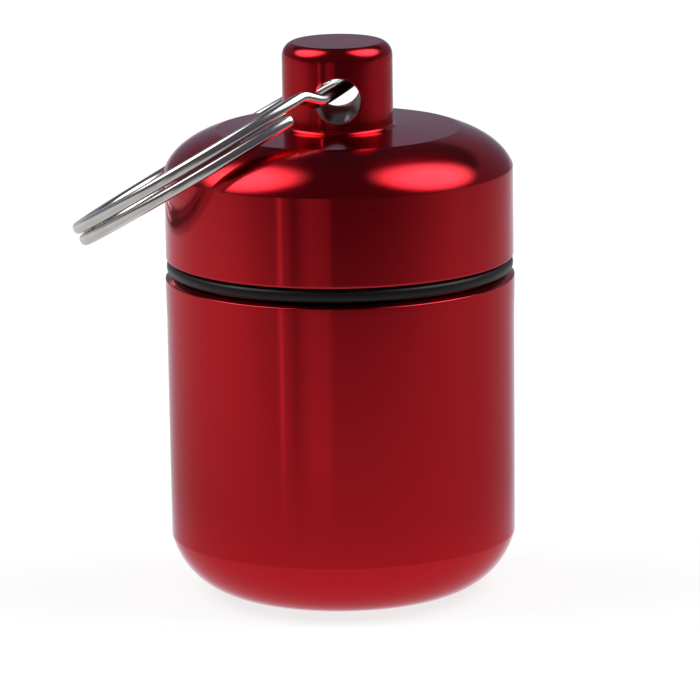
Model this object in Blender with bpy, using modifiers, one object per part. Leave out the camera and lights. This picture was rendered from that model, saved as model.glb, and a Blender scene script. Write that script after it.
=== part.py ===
"""Screw-top keyring canister, turned from bar, with its sealing ring and split ring.

The canister stands on its flat base, centred on the world Z axis, and the cross bore of the
knob runs along Y. Lengths are in metres, angles in radians.
"""

import math

import bmesh
import bpy
import numpy as np
from mathutils import Euler, Vector

# Canister: outer form. The heights of the stacked pieces add up to 42.4 mm.
BODY_DIAMETER = 0.0265
CANISTER_HEIGHT = 0.0247
LIP_CHAMFER = 0.0003
LIP_BEAD_HEIGHT = 0.0006
LIP_BEAD_RISE = 0.00006
WALL_TAPER = 0.00008
BASE_ROUND_WIDTH = 0.00547
BASE_ROUND_HEIGHT = 0.00444
BASE_ROUND_START = math.radians(14.7)
BASE_ROUND_END = math.radians(90)

# Canister: pill space and threaded neck, the neck drawn at its mean thread radius
FLOOR_THICKNESS = 0.0018
FLOOR_FILLET = 0.0015
SHOULDER_WIDTH = 0.00175
NECK_WALL = 0.0011
NECK_HEIGHT = 0.0060
NECK_EDGE_CHAMFER = 0.00035

# Sealing ring: a round cord squeezed between the shoulder and the cap
SEAL_GROOVE_HEIGHT = 0.00121
SEAL_CLEARANCE = 0.00010
SEAL_INSET = 0.00005

# Cap: skirt, domed shoulder and threaded hollow
THREAD_CLEARANCE = 0.00030
SKIRT_HEIGHT = 0.00686
SKIRT_EDGE_CHAMFER = 0.00025
DOME_RISE = 0.00342
DOME_START = math.radians(12)
DOME_END = math.radians(82.8)
NECK_HEADROOM = 0.00111
HOLLOW_FILLET = 0.0004

# Knob on the cap, the level ledge round it, and its cross bore
KNOB_RADIUS = 0.0042
KNOB_HEIGHT = 0.00621
KNOB_LEDGE_WIDTH = 0.00256
KNOB_TOP_ROUND = 0.00105
KNOB_FOOT_FILLET = 0.0002
BORE_CLEARANCE = 0.00004
BORE_FLOOR_RISE = 0.00054

# Split ring: round-edged flat wire wound twice, with the crank that joins its two layers
RING_OUTER_RADIUS = 0.0123
WIRE_WIDTH = 0.0013
WIRE_HEIGHT = 0.0009
LAYER_GAP = 0.00012
FRONT_END_ANGLE = math.radians(-50.7)
BACK_END_ANGLE = math.radians(34)
CRANK_START_ANGLE = math.radians(-43.5)
CRANK_END_ANGLE = math.radians(-33.2)
CRANK_ROUND_SHARE = 0.3

# Lie of the split ring: how far it has slid back, out and up in the bore, its lean, and its
# height over the dome
RING_SHIFT = 0.00196
RING_DRAW = 0.00008
RING_RIDE = 0.00028
RING_TILT = math.radians(7.2)
RING_CLEARANCE = 0.000085

# Facets
TURN_STEPS = 72
SHOULDER_STEPS = 10
FILLET_STEPS = 5
CORD_END_STEPS = 6
WIRE_END_STEPS = 5
BORE_STEPS = 40
RING_STEP_ANGLE = math.radians(5)
RING_TRIAL_ANGLE = math.radians(1)

# Modelling values
CIRCLE_TRIALS = 4000
SLOPE_TRIALS = 30
OVERRUN = 0.002
MERGE_DISTANCE = 0.000001
MM_PER_METRE = 1000

# Sizes that follow from the ones above
BODY_RADIUS = BODY_DIAMETER / 2
LIP_RADIUS = BODY_RADIUS + LIP_BEAD_RISE
BASE_ROUND_RADIUS = BODY_RADIUS - WALL_TAPER
BASE_FLAT_RADIUS = BASE_ROUND_RADIUS - BASE_ROUND_WIDTH
NECK_RADIUS = BODY_RADIUS - SHOULDER_WIDTH
NECK_TOP = CANISTER_HEIGHT + NECK_HEIGHT
PILL_BORE_RADIUS = NECK_RADIUS - NECK_WALL
SEAL_HEIGHT = SEAL_GROOVE_HEIGHT - 2 * SEAL_CLEARANCE
SEAL_INNER_RADIUS = NECK_RADIUS + SEAL_CLEARANCE
SEAL_OUTER_RADIUS = BODY_RADIUS - SEAL_INSET
CAP_EDGE = CANISTER_HEIGHT + SEAL_GROOVE_HEIGHT
CAP_BORE_RADIUS = NECK_RADIUS + THREAD_CLEARANCE
HOLLOW_CEILING = NECK_TOP + NECK_HEADROOM
CREASE_HEIGHT = CAP_EDGE + SKIRT_HEIGHT
DOME_FLAT_RADIUS = KNOB_RADIUS + KNOB_LEDGE_WIDTH
DOME_FLAT_HEIGHT = CREASE_HEIGHT + DOME_RISE
KNOB_TOP = DOME_FLAT_HEIGHT + KNOB_HEIGHT
RING_MEAN_RADIUS = RING_OUTER_RADIUS - WIRE_WIDTH / 2
LAYER_PITCH = WIRE_HEIGHT + LAYER_GAP


def clear_scene():
    """Remove every object that the file opened with."""
    for item in list(bpy.data.objects):
        bpy.data.objects.remove(item, do_unlink=True)


def new_collection(name):
    """Return a new collection linked to the scene."""
    collection = bpy.data.collections.new(name)
    bpy.context.scene.collection.children.link(collection)
    return collection


def new_material(name, colour, metallic, roughness):
    """Return a Principled material of one colour."""
    material = bpy.data.materials.new(name)
    material.use_nodes = True
    shader = material.node_tree.nodes["Principled BSDF"]
    shader.inputs["Base Color"].default_value = (*colour, 1)
    shader.inputs["Metallic"].default_value = metallic
    shader.inputs["Roughness"].default_value = roughness
    return material


def elliptic_arc(centre, radii, start, end, steps):
    """Points on an ellipse, from the start angle to the end angle, both included."""
    angles = [start + (end - start) * step / steps for step in range(steps + 1)]
    return [
        (centre[0] + radii[0] * math.cos(angle), centre[1] + radii[1] * math.sin(angle))
        for angle in angles
    ]


def shoulder_ellipse(wall_radius, flat_radius, rise, start, end):
    """Centre and radii of the arc from a level flat out to a wall that it meets in a crease.

    Heights are above the crease. The start angle sets how sharp the crease at the wall is, and
    the end angle how sharp the edge of the flat is: at zero and 90 degrees there would be none.
    """
    radii = (
        (wall_radius - flat_radius) / (math.cos(start) - math.cos(end)),
        rise / (math.sin(end) - math.sin(start)),
    )
    return (wall_radius - radii[0] * math.cos(start), -radii[1] * math.sin(start)), radii


def shoulder_arc(wall_radius, flat_radius, rise, start, end):
    """Points of the shoulder arc, from the flat out to the wall."""
    centre, radii = shoulder_ellipse(wall_radius, flat_radius, rise, start, end)
    return elliptic_arc(centre, radii, end, start, SHOULDER_STEPS)


def stadium(width, height, steps):
    """Closed outline of a flat strip with half-round edges, run clockwise from the top left."""
    round_radii = (height / 2, height / 2)
    straight = width / 2 - height / 2
    right = elliptic_arc((straight, 0), round_radii, math.pi / 2, -math.pi / 2, steps)
    left = elliptic_arc((-straight, 0), round_radii, -math.pi / 2, -3 * math.pi / 2, steps)
    return right + left


def turned(name, profile, material, collection, closed=False):
    """Turn a profile of (radius, height) points about Z; its outer side runs downwards."""
    mesh = bpy.data.meshes.new(name)
    vertices = [(radius, 0, height) for radius, height in profile]
    edges = [(index, index + 1) for index in range(len(profile) - 1)]
    if closed:
        edges.append((len(profile) - 1, 0))
    mesh.from_pydata(vertices, edges, [])
    mesh.materials.append(material)
    piece = bpy.data.objects.new(name, mesh)
    collection.objects.link(piece)
    screw = piece.modifiers.new("turn", "SCREW")
    screw.steps = TURN_STEPS
    screw.render_steps = TURN_STEPS
    screw.use_merge_vertices = True
    screw.merge_threshold = MERGE_DISTANCE
    screw.use_smooth_shade = True
    return piece


def canister_profile():
    """Pill space, neck, lip, wall and rounded base, from the inner floor round to the foot."""
    fillet_centre = (PILL_BORE_RADIUS - FLOOR_FILLET, FLOOR_THICKNESS + FLOOR_FILLET)
    inside = [(0, FLOOR_THICKNESS)]
    inside += elliptic_arc(
        fillet_centre, (FLOOR_FILLET, FLOOR_FILLET), -math.pi / 2, 0, FILLET_STEPS
    )
    neck = [
        (PILL_BORE_RADIUS, NECK_TOP - NECK_EDGE_CHAMFER),
        (PILL_BORE_RADIUS + NECK_EDGE_CHAMFER, NECK_TOP),
        (NECK_RADIUS - NECK_EDGE_CHAMFER, NECK_TOP),
        (NECK_RADIUS, NECK_TOP - NECK_EDGE_CHAMFER),
        (NECK_RADIUS, CANISTER_HEIGHT),
    ]
    bead_top = CANISTER_HEIGHT - LIP_CHAMFER
    lip = [
        (LIP_RADIUS - LIP_CHAMFER, CANISTER_HEIGHT),
        (LIP_RADIUS, bead_top),
        (LIP_RADIUS, bead_top - LIP_BEAD_HEIGHT + LIP_BEAD_RISE),
        (BODY_RADIUS, bead_top - LIP_BEAD_HEIGHT),
    ]
    base_round = (BASE_ROUND_RADIUS, BASE_FLAT_RADIUS, BASE_ROUND_HEIGHT)
    base = [
        (radius, BASE_ROUND_HEIGHT - height)
        for radius, height in reversed(shoulder_arc(*base_round, BASE_ROUND_START, BASE_ROUND_END))
    ]
    base[-1] = (BASE_FLAT_RADIUS, 0)
    return inside + neck + lip + base + [(0, 0)]


def cap_profile():
    """Knob, flat, dome, skirt and threaded hollow, from the knob's top round to the ceiling."""
    knob_round = (KNOB_TOP_ROUND, KNOB_TOP_ROUND)
    knob_round_centre = (KNOB_RADIUS - KNOB_TOP_ROUND, KNOB_TOP - KNOB_TOP_ROUND)
    foot_round = (KNOB_FOOT_FILLET, KNOB_FOOT_FILLET)
    foot_centre = (KNOB_RADIUS + KNOB_FOOT_FILLET, DOME_FLAT_HEIGHT + KNOB_FOOT_FILLET)
    knob = [(0, KNOB_TOP)]
    knob += elliptic_arc(knob_round_centre, knob_round, math.pi / 2, 0, FILLET_STEPS)
    knob += elliptic_arc(foot_centre, foot_round, math.pi, 3 * math.pi / 2, FILLET_STEPS)
    dome = [
        (radius, CREASE_HEIGHT + height)
        for radius, height in shoulder_arc(
            BODY_RADIUS, DOME_FLAT_RADIUS, DOME_RISE, DOME_START, DOME_END
        )
    ]
    skirt = [
        (BODY_RADIUS, CAP_EDGE + SKIRT_EDGE_CHAMFER),
        (BODY_RADIUS - SKIRT_EDGE_CHAMFER, CAP_EDGE),
        (CAP_BORE_RADIUS + SKIRT_EDGE_CHAMFER, CAP_EDGE),
        (CAP_BORE_RADIUS, CAP_EDGE + SKIRT_EDGE_CHAMFER),
    ]
    hollow_round = (HOLLOW_FILLET, HOLLOW_FILLET)
    hollow_centre = (CAP_BORE_RADIUS - HOLLOW_FILLET, HOLLOW_CEILING - HOLLOW_FILLET)
    hollow = elliptic_arc(hollow_centre, hollow_round, 0, math.pi / 2, FILLET_STEPS)
    return knob + dome + skirt + hollow + [(0, HOLLOW_CEILING)]


def seal_profile():
    """Squeezed cord between the canister's shoulder and the cap's lower edge."""
    mean_radius = (SEAL_INNER_RADIUS + SEAL_OUTER_RADIUS) / 2
    mean_height = CANISTER_HEIGHT + SEAL_GROOVE_HEIGHT / 2
    width = SEAL_OUTER_RADIUS - SEAL_INNER_RADIUS
    return [
        (mean_radius + x, mean_height + z)
        for x, z in stadium(width, SEAL_HEIGHT, CORD_END_STEPS)
    ]


def drill_knob(cap, bore_radius, bore_height, cutters):
    """Cut the cross bore through the knob, along Y."""
    mesh = bpy.data.meshes.new("cross_bore_cutter")
    shape = bmesh.new()
    bmesh.ops.create_cone(
        shape,
        cap_ends=True,
        segments=BORE_STEPS,
        radius1=bore_radius,
        radius2=bore_radius,
        depth=2 * (KNOB_RADIUS + OVERRUN),
    )
    for face in shape.faces:
        face.smooth = True
    shape.to_mesh(mesh)
    shape.free()
    cutter = bpy.data.objects.new("cross_bore_cutter", mesh)
    cutter.location = (0, 0, bore_height)
    cutter.rotation_euler = (math.pi / 2, 0, 0)
    cutter.hide_render = True
    cutter.display_type = "WIRE"
    cutters.objects.link(cutter)
    cut = cap.modifiers.new("cross_bore", "BOOLEAN")
    cut.operation = "DIFFERENCE"
    cut.solver = "EXACT"
    cut.object = cutter


def crank_level(angle):
    """Height of the wire along the crank: one at its start, minus one at its end."""
    share = (angle - CRANK_START_ANGLE) / (CRANK_END_ANGLE - CRANK_START_ANGLE)
    share = min(max(share, 0), 1)
    rounded = CRANK_ROUND_SHARE
    if share < rounded:
        fall = share**2 / (2 * rounded)
    elif share > 1 - rounded:
        fall = 1 - rounded - (1 - share) ** 2 / (2 * rounded)
    else:
        fall = share - rounded / 2
    return 1 - 2 * fall / (1 - rounded)


def angles_between(start, end, step):
    """Evenly spaced angles that include the start and leave out the end."""
    count = max(1, round(abs(end - start) / step))
    return [start + (end - start) * index / count for index in range(count)]


def wire_path(step):
    """Centre line of the wire, as (angle, height) from its back end to its front end.

    The wire starts on the upper layer behind the knob, runs once round through the left side
    to the crank in front of the bore, and goes round again on the lower layer.
    """
    full_turn = 2 * math.pi
    upper = angles_between(BACK_END_ANGLE, CRANK_START_ANGLE + full_turn, step)
    crank = angles_between(CRANK_START_ANGLE, CRANK_END_ANGLE, step / 2)
    lower = angles_between(CRANK_END_ANGLE, FRONT_END_ANGLE + full_turn, step)
    path = [(angle, LAYER_PITCH / 2) for angle in upper]
    path += [(angle, LAYER_PITCH / 2 * crank_level(angle)) for angle in crank]
    path += [(angle, -LAYER_PITCH / 2) for angle in lower]
    path.append((FRONT_END_ANGLE + full_turn, -LAYER_PITCH / 2))
    return path


def wire_points(path):
    """Centre line points in the ring's own frame, with the bore side at +X and up at +Z."""
    return [
        Vector((RING_MEAN_RADIUS * math.cos(angle), RING_MEAN_RADIUS * math.sin(angle), height))
        for angle, height in path
    ]


def distance_to_stretch(point, start, end):
    """Distance from a point to the straight stretch between two others."""
    stretch = end - start
    share = (point - start).dot(stretch) / stretch.length_squared
    return (point - start - stretch * min(max(share, 0), 1)).length


def least_layer_gap(points):
    """Least gap between the two layers, measured between their centre lines."""
    apart = round(math.pi / RING_STEP_ANGLE)
    nearest = min(
        distance_to_stretch(points[first], points[second], points[second + 1])
        for first in range(len(points))
        for second in range(first + apart, len(points) - 1)
    )
    return nearest - WIRE_HEIGHT


def wound_ring(name, material, collection, cutters):
    """Split ring: a round-edged flat section swept along the wound centre line."""
    section_curve = bpy.data.curves.new("wire_section", "CURVE")
    section_curve.dimensions = "2D"
    outline = stadium(WIRE_WIDTH, WIRE_HEIGHT, WIRE_END_STEPS)
    section_spline = section_curve.splines.new("POLY")
    section_spline.points.add(len(outline) - 1)
    for point, (x, y) in zip(section_spline.points, outline):
        point.co = (x, y, 0, 1)
    section_spline.use_cyclic_u = True
    section = bpy.data.objects.new("wire_section", section_curve)
    section.hide_render = True
    section.display_type = "WIRE"
    cutters.objects.link(section)

    points = wire_points(wire_path(RING_STEP_ANGLE))
    curve = bpy.data.curves.new(name, "CURVE")
    curve.dimensions = "3D"
    curve.twist_mode = "Z_UP"
    curve.bevel_mode = "OBJECT"
    curve.bevel_object = section
    curve.use_fill_caps = True
    spline = curve.splines.new("POLY")
    spline.points.add(len(points) - 1)
    for point, position in zip(spline.points, points):
        point.co = (*position, 1)
    curve.materials.append(material)
    ring = bpy.data.objects.new(name, curve)
    collection.objects.link(ring)
    gap = least_layer_gap(points) * MM_PER_METRE
    print(f"Least gap between the ring's layers: {gap:.3f} mm")
    return ring


def leaned_wire_skin():
    """Points on the skin of the ring, leaned and slid back but level, and which lie in the bore.

    A point counts as in the bore when the knob reaches it at any angle of the ring's swing.
    """
    outline = stadium(WIRE_WIDTH, WIRE_HEIGHT, WIRE_END_STEPS)
    path = np.array(wire_path(RING_TRIAL_ANGLE))
    angles = np.repeat(path[:, 0], len(outline))
    radii = RING_MEAN_RADIUS + np.tile([x for x, z in outline], len(path))
    heights = np.repeat(path[:, 1], len(outline)) + np.tile([z for x, z in outline], len(path))
    own = np.column_stack([radii * np.cos(angles), radii * np.sin(angles), heights])
    lean = np.array(Euler((-RING_TILT, 0, 0)).to_matrix())
    skin = own @ lean.T + (0, RING_SHIFT, 0)
    in_bore = (np.cos(angles) > 0) & (abs(skin[:, 1]) <= KNOB_RADIUS)
    return skin, in_bore


def reach_from(place, points):
    """Distance of the farthest point, seen along the bore, from a place in that view."""
    return np.linalg.norm(points[:, [0, 2]] - place, axis=1).max()


def middle_of_wire(points):
    """Centre of the smallest circle round the points, seen along the bore.

    It is found by stepping towards the farthest point, each step smaller than the last.
    """
    flat = points[:, [0, 2]]
    centre = flat.mean(axis=0)
    for trial in range(1, CIRCLE_TRIALS):
        farthest = flat[np.linalg.norm(flat - centre, axis=1).argmax()]
        centre = centre + (farthest - centre) / (trial + 1)
    return centre


def height_over_dome(points):
    """Least height of points over the cap's ledge and dome, for those above the cap."""
    dome = (BODY_RADIUS, DOME_FLAT_RADIUS, DOME_RISE, DOME_START, DOME_END)
    (arc_start, arc_level), (arc_width, arc_height) = shoulder_ellipse(*dome)
    reach = np.hypot(points[:, 0], points[:, 1])
    share = np.clip((reach - arc_start) / arc_width, 0, 1)
    dome_height = CREASE_HEIGHT + arc_level + arc_height * np.sqrt(1 - share**2)
    dome_height = np.minimum(dome_height, DOME_FLAT_HEIGHT)
    return (points[:, 2] - dome_height)[reach <= BODY_RADIUS].min()


def swung_down(skin, bore_height, slope):
    """Points of the ring swung down about the bore's axis by the slope."""
    swing = np.array(Euler((0, -slope, 0)).to_matrix())
    return skin @ swing.T + (0, 0, bore_height)


def resting_slope(skin, bore_height):
    """Slope at which the ring, let down from level, comes to lie on the dome."""
    clear, low = 0, math.pi / 2
    for _ in range(SLOPE_TRIALS):
        slope = (clear + low) / 2
        if height_over_dome(swung_down(skin, bore_height, slope)) > RING_CLEARANCE:
            clear = slope
        else:
            low = slope
    return clear


def lay_ring_on_dome(ring, bore_place, bore_height, slope, collection):
    """Hang the ring from an empty in the middle of the bore and lay it down on the dome."""
    pivot = bpy.data.objects.new("ring_pivot", None)
    pivot.location = (0, 0, bore_height)
    collection.objects.link(pivot)
    swing = Euler((0, -slope, 0)).to_matrix()
    ring.parent = pivot
    ring.location = swing @ Vector((-bore_place[0], RING_SHIFT, -bore_place[1]))
    ring.rotation_euler = (-RING_TILT, -slope, 0)


def build():
    """Build the four pieces in their places."""
    clear_scene()
    parts = new_collection("keyring_canister")
    cutters = new_collection("keyring_canister_cutters")
    red = new_material("red_anodised_aluminium", (0.42, 0.008, 0.022), 1.0, 0.3)
    black = new_material("black_rubber", (0.012, 0.012, 0.013), 0.0, 0.5)
    nickel = new_material("nickel_plated_steel", (0.66, 0.64, 0.60), 1.0, 0.16)

    turned("canister", canister_profile(), red, parts)
    turned("o_ring", seal_profile(), black, parts, closed=True)
    cap = turned("cap", cap_profile(), red, parts)
    skin, in_bore = leaned_wire_skin()
    bore_place = middle_of_wire(skin[in_bore]) - (RING_DRAW, RING_RIDE)
    bore_radius = reach_from(bore_place, skin[in_bore]) + BORE_CLEARANCE
    bore_height = DOME_FLAT_HEIGHT + BORE_FLOOR_RISE + bore_radius
    slope = resting_slope(skin - (bore_place[0], 0, bore_place[1]), bore_height)
    drill_knob(cap, bore_radius, bore_height, cutters)
    ring = wound_ring("split_ring", nickel, parts, cutters)
    lay_ring_on_dome(ring, bore_place, bore_height, slope, parts)


build()
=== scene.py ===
"""Screw-top keyring canister, dressed for rendering.

A red anodised canister and its domed screw cap, the rubber ring that seals them and the split
ring through the cap's drilled knob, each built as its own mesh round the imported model.
"""

import logging
import math
from collections.abc import Sequence
from dataclasses import dataclass, field
from enum import Enum
from itertools import accumulate
from typing import Any, ClassVar, Self

import bmesh
import bpy
from bmesh.types import BMesh, BMFace, BMVert
from bpy.types import Light, Material, Mesh, Node, NodeSocket, NodeTree, Object
from mathutils import Euler, Matrix, Vector


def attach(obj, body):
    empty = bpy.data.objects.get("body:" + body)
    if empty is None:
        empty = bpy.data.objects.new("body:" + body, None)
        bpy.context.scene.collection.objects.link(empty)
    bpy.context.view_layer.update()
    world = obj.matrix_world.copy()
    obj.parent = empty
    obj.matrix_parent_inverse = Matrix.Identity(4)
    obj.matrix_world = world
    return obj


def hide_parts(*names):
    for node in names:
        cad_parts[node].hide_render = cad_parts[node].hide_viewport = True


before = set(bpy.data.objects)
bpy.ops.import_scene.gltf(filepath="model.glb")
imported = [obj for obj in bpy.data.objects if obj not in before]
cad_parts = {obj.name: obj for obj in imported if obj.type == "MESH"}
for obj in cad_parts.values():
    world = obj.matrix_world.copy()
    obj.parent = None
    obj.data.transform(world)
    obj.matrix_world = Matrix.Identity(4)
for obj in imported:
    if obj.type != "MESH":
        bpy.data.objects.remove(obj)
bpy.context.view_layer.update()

LOG = logging.getLogger("keyring_canister")

MM = 0.001
FULL_TURN = 2 * math.pi
QUARTER_TURN = math.pi / 2
WEAR_ATTRIBUTE = "edge_wear"
CUT_ATTRIBUTE = "rough_cut"
WIRE_LAY = "wire_lay"

BODY_RADIUS = 13.25 * MM
BORE_HEIGHT = 38.4603 * MM
ROUNDING_STEPS = 4
WELD_DISTANCE = 0.0005 * MM
# A flat at least this many times as long as its rounding gets a row that holds it level, this
# far from the rounding.
HOLD_ROOM = 3
HOLD = 0.05 * MM
# How rough each tool leaves the metal, next to the polished outside.
FACED = 0.4
THREADED = 0.5
BORED = 0.6
DRILLED = 1.0

SMOOTH = {"interpolation_type": "SMOOTHSTEP"}

Point = tuple[float, float]


class Body(Enum):
    """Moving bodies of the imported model."""

    CANISTER = "canister"
    SEAL = "seal"
    CAP = "cap"
    RING = "ring"


class Slot(Enum):
    """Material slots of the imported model."""

    RED_ALUMINIUM = "red_anodised_aluminium"
    BLACK_RUBBER = "black_rubber"
    NICKEL_STEEL = "nickel_plated_steel"


# Helpers


def linear_colour(hex_colour: str) -> tuple[float, float, float, float]:
    """Turn an sRGB hex colour into a linear one.

    Args:
        hex_colour: Colour such as "#b01020".

    Returns:
        Linear red, green and blue, with an alpha of one.
    """
    channels = [int(hex_colour[start : start + 2], 16) / 255 for start in (1, 3, 5)]
    linear = [
        value / 12.92 if value <= 0.04045 else ((value + 0.055) / 1.055) ** 2.4
        for value in channels
    ]
    return (*linear, 1.0)


def add_node(
    tree: NodeTree, kind: str, inputs: dict[int | str, Any] | None = None, **settings: Any
) -> Node:
    """Add a node, set its properties and fill its inputs.

    Args:
        tree: Node tree that takes the node.
        kind: Type name of the node, without the word ShaderNode that it starts with.
        inputs: Values for its inputs, by name or place. A hex colour is turned linear, a socket
            is linked, and so is the first output in use of a node.
        settings: Properties of the node, by name.

    Returns:
        The new node.
    """
    node = tree.nodes.new(f"ShaderNode{kind}")
    for name, value in settings.items():
        setattr(node, name, value)
    for key, value in (inputs or {}).items():
        if isinstance(value, Node):
            value = next(output for output in value.outputs if output.enabled)
        if isinstance(value, NodeSocket):
            tree.links.new(value, node.inputs[key])
        else:
            colour = isinstance(value, str)
            node.inputs[key].default_value = linear_colour(value) if colour else value
    return node


@dataclass(frozen=True)
class Fade:
    """Change from one value to another, while the value that drives it runs from start to end."""

    before: float
    after: float
    start: float = 0.0
    end: float = 1.0

    def of(self, driver: Node | NodeSocket) -> dict[str, Any]:
        """Give the inputs of a map range node that draws the change for a driving value."""
        names = ("Value", "From Min", "From Max", "To Min", "To Max")
        return dict(zip(names, (driver, self.start, self.end, self.before, self.after)))


def fresh_material(name: str) -> tuple[Material, NodeTree]:
    """Make a material with an empty node tree.

    Args:
        name: Name of the material.

    Returns:
        The material and its tree.
    """
    material = bpy.data.materials.new(name)
    material.use_nodes = True
    material.node_tree.nodes.clear()
    return material, material.node_tree


def new_piece(name: str, mesh: Mesh, material: Material) -> Object:
    """Link a mesh to the scene as a piece with one material.

    Args:
        name: Name of the piece.
        mesh: Mesh in the frame's own coordinates.
        material: Finish of the whole piece.

    Returns:
        The new object.
    """
    mesh.materials.append(material)
    piece = bpy.data.objects.new(name, mesh)
    bpy.context.scene.collection.objects.link(piece)
    return piece


def smoothstep(value: float) -> float:
    """Ease from zero to one, held outside that range."""
    share = min(max(value, 0.0), 1.0)
    return share * share * (3 - 2 * share)


def edge_wear(share: float) -> float:
    """Wear at a share of the way over a rounded edge, strongest in its middle."""
    return math.sin(math.pi * (share * 0.6 + 0.2))


# Turned pieces


@dataclass(frozen=True)
class Corner:
    """Corner of a turned outline, rounded by an arc where it has a rounding."""

    radius: float
    height: float
    rounding: float = 0.0
    worn: float = 1.0
    cut: float = 0.0


@dataclass(frozen=True)
class Row:
    """One level ring of vertices: its place, wear, thread depth and how rough its cut is."""

    radius: float
    height: float
    wear: float = 0.0
    thread: float = 0.0
    cut: float = 0.0


@dataclass(frozen=True)
class Thread:
    """Right-hand screw thread with rounded crests, which fades out at both ends."""

    lead: float = 1.5 * MM
    depth: float = 0.5 * MM
    flank_share: float = 0.3
    crest_share: float = 0.1
    run_out: float = 0.5 * MM
    rows_per_turn: int = 16

    def rise(self, angle: float, height: float) -> float:
        """Rise of the thread at an angle and a height, zero at its root and one at its crest."""
        off_crest = abs((height / self.lead - angle / FULL_TURN) % 1.0 - 0.5)
        return smoothstep(1 - (off_crest - self.crest_share) / self.flank_share)

    def rows(
        self, radius: float, bottom: float, top: float, countersunk: bool = False
    ) -> list[Row]:
        """Lay out a threaded stretch.

        Args:
            radius: Radius of the thread's root, or of its crest for a thread cut into a hole.
            bottom: Lowest row.
            top: Highest row.
            countersunk: Whether the bottom opens to the full depth, to let the other thread in.

        Returns:
            Rows from bottom to top.
        """
        count = round((top - bottom) / (self.lead / self.rows_per_turn))
        rows = []
        for index in range(count + 1):
            height = bottom + (top - bottom) * index / count
            full = smoothstep(min(height - bottom, top - height) / self.run_out)
            closing = smoothstep((height - bottom) / self.run_out)
            opening = self.depth * (1 - closing) if countersunk else 0.0
            rows.append(Row(radius + opening, height, thread=self.depth * full, cut=THREADED))
        return rows


THREAD = Thread()


def ellipse_arc(centre: Point, radii: Point, start: float, end: float, steps: int) -> list[Point]:
    """Give points on an ellipse from one angle to another, in equal steps with both ends."""
    turns = (start + (end - start) * step / steps for step in range(steps + 1))
    return [(centre[0] + radii[0] * math.cos(t), centre[1] + radii[1] * math.sin(t)) for t in turns]


@dataclass(frozen=True)
class Shoulder:
    """Rounded shoulder between a level flat and a wall, as an arc of an ellipse.

    It starts at the wall, where an angle over zero leaves a crease, and ends at the flat, where
    an angle under a quarter turn leaves an edge.
    """

    wall_radius: float
    flat_radius: float
    rise: float
    start: float = 0.0
    end: float = QUARTER_TURN
    steps: int = 28

    def points(self) -> list[Point]:
        """Trace the arc.

        Returns:
            Radius and height above the crease of points from the flat out to the wall.
        """
        start, end = self.start, self.end
        radii = (
            (self.wall_radius - self.flat_radius) / (math.cos(start) - math.cos(end)),
            self.rise / (math.sin(end) - math.sin(start)),
        )
        centre = (self.wall_radius - radii[0] * math.cos(start), -radii[1] * math.sin(start))
        return ellipse_arc(centre, radii, end, start, self.steps)


def rounded_rows(corners: Sequence[Corner]) -> list[Row]:
    """Round the corners of an outline and hold its longer flats with a row by each rounding.

    Args:
        corners: Corners in order along the outline.

    Returns:
        Rows of the turned mesh.
    """
    rows = [Row(corners[0].radius, corners[0].height, cut=corners[0].cut)]
    for before, corner, after in zip(corners, corners[1:], corners[2:]):
        place = Vector((corner.radius, corner.height))
        inward = Vector((before.radius, before.height)) - place
        outward = Vector((after.radius, after.height)) - place
        if corner.rounding == 0.0:
            rows.append(Row(corner.radius, corner.height, cut=corner.cut))
            continue
        reach = corner.rounding * math.tan((math.pi - inward.angle(outward)) / 2)
        first = place + inward.normalized() * reach
        last = place + outward.normalized() * reach
        if inward.length > HOLD_ROOM * (reach + HOLD):
            rows.append(Row(*(first + inward.normalized() * HOLD), cut=corner.cut))
        for step in range(ROUNDING_STEPS + 1):
            share = step / ROUNDING_STEPS
            point = first.lerp(place, share).lerp(place.lerp(last, share), share)
            rows.append(Row(*point, wear=corner.worn * edge_wear(share), cut=corner.cut))
        if outward.length > HOLD_ROOM * (reach + HOLD):
            rows.append(Row(*(last + outward.normalized() * HOLD), cut=corner.cut))
    rows.append(Row(corners[-1].radius, corners[-1].height, cut=corners[-1].cut))
    return rows


@dataclass
class Skin:
    """Mesh of closed rings of vertices with faces between them."""

    shape: BMesh = field(default_factory=bmesh.new)

    def bridge(self, first: Sequence[BMVert], second: Sequence[BMVert]) -> list[BMFace]:
        """Span the space between two rings of vertices, or between a ring and a point.

        Args:
            first: One ring.
            second: The next ring, of the same length, or either ring a single vertex.

        Returns:
            The faces in order.
        """
        count = max(len(first), len(second))
        faces = []
        for index in range(count):
            following = (index + 1) % count
            if len(first) == 1:
                corners = [first[0], second[index], second[following]]
            elif len(second) == 1:
                corners = [first[index], first[following], second[0]]
            else:
                corners = [first[index], first[following], second[following], second[index]]
            faces.append(self.shape.faces.new(corners))
        return faces

    def finish(self, name: str) -> Mesh:
        """Weld the skin and turn it into a smooth mesh.

        Args:
            name: Name of the mesh.

        Returns:
            The mesh.
        """
        bmesh.ops.remove_doubles(self.shape, verts=self.shape.verts, dist=WELD_DISTANCE)
        bmesh.ops.recalc_face_normals(self.shape, faces=self.shape.faces)
        for face in self.shape.faces:
            face.smooth = True
        mesh = bpy.data.meshes.new(name)
        self.shape.to_mesh(mesh)
        self.shape.free()
        return mesh


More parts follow.
